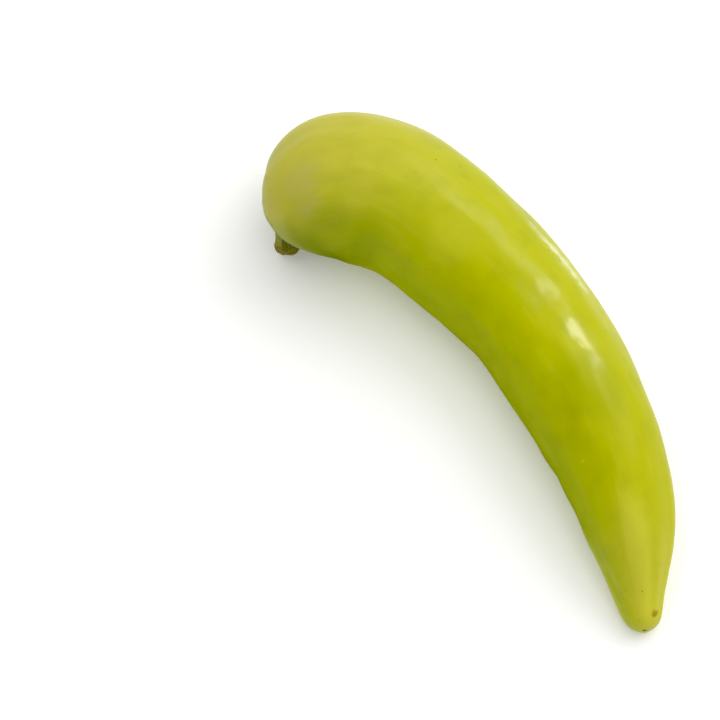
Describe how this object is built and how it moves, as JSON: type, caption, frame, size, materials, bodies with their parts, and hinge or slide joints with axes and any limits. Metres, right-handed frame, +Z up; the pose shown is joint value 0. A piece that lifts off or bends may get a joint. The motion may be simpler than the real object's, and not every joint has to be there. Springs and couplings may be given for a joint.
{
  "type": "chilli pepper",
  "caption": "Long curved yellow-green chilli pepper lying on its side, with a leafy calyx and a short bent stem tucked under its shoulder; for a kitchen, market or still life.",
  "frame": {"origin": "on the surface the pepper lies on, under the middle of its overall box", "axes": "+X runs the long way, from the stem end to the tip; +Z is up from the surface; the pod bulges to +Y and its two ends bend towards -Y"},
  "size_m": [0.1717, 0.0641, 0.0442],
  "materials": {
    "skin": "smooth waxy yellow-green skin with a soft shine",
    "calyx": "matte dark green leaf with dry dark points",
    "stem": "satin pale green stem with a brown corky broken end"
  },
  "bodies": {
    "root": {"pod": "skin", "calyx": "calyx", "stem": "stem"}
  },
  "joints": []
}
